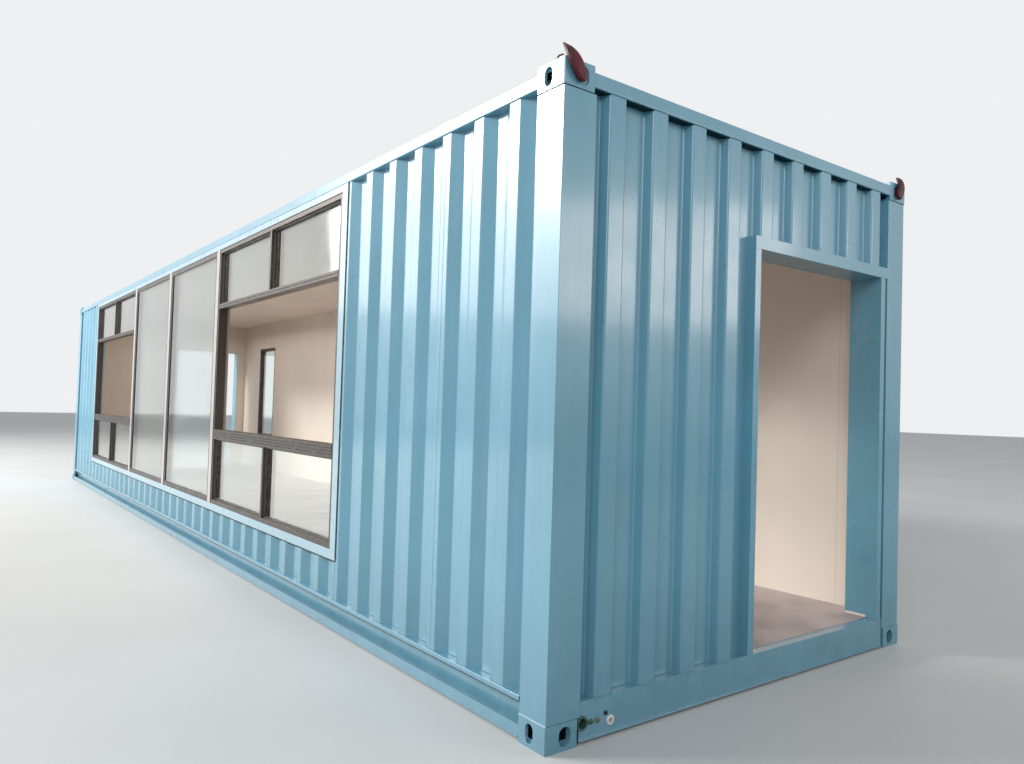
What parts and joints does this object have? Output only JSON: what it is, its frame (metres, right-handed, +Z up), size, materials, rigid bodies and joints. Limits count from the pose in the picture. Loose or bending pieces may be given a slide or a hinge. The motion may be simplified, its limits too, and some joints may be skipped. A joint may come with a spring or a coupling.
{
  "type": "shipping container cabin",
  "caption": "Blue shipping container turned into a cabin, with a wide glazed front, open end doorways and a lined room.",
  "frame": {"origin": "on the ground under the middle of the container", "axes": "+X along the length towards the pictured door end, -Y out of the glazed front, +Z up"},
  "size_m": [12.2412, 2.438, 2.6719],
  "materials": {
    "blue_paint": "gloss sky-blue paint, lightly weathered",
    "surround_paint": "gloss pale blue paint",
    "bronze_aluminium": "dark bronze anodised",
    "window_glass": "clear",
    "lining_board": "warm white painted board",
    "floor_covering": "dull greyish pink sheet",
    "stub_plastic": "dull dark green",
    "hook_paint": "worn dark red paint"
  },
  "bodies": {
    "root": {"corner_castings_bottom": "blue_paint", "corner_castings_top": "blue_paint", "door_end_posts": "blue_paint", "far_end_posts": "blue_paint", "front_top_rail": "blue_paint", "rear_top_rail": "blue_paint", "door_end_header": "blue_paint", "far_end_header": "blue_paint", "front_bottom_rail": "blue_paint", "rear_bottom_rail": "blue_paint", "door_end_sill": "blue_paint", "far_end_sill": "blue_paint", "roof_panel": "blue_paint", "front_wall": "blue_paint", "rear_wall": "blue_paint", "door_end_wall_side": "blue_paint", "door_end_wall_over": "blue_paint", "door_end_door_jambs": "blue_paint", "door_end_door_head": "blue_paint", "far_end_wall_side": "blue_paint", "far_end_wall_over": "blue_paint", "far_end_door_jambs": "blue_paint", "far_end_door_head": "blue_paint", "floor_cross_members": "blue_paint", "glazing_posts": "surround_paint", "glazing_sill": "surround_paint", "glazing_head": "surround_paint", "near_window_frame": "bronze_aluminium", "far_window_frame": "bronze_aluminium", "fixed_window_frames": "bronze_aluminium", "rear_window_frame": "bronze_aluminium", "near_window_glass": "window_glass", "far_window_glass": "window_glass", "fixed_window_glass": "window_glass", "rear_window_glass": "window_glass", "front_lining": "lining_board", "rear_lining": "lining_board", "door_end_lining_side": "lining_board", "door_end_lining_over": "lining_board", "far_end_lining_side": "lining_board", "far_end_lining_over": "lining_board", "ceiling_panel": "lining_board", "floor_deck": "floor_covering", "service_stubs": "stub_plastic", "lifting_hooks": "hook_paint"}
  },
  "joints": []
}
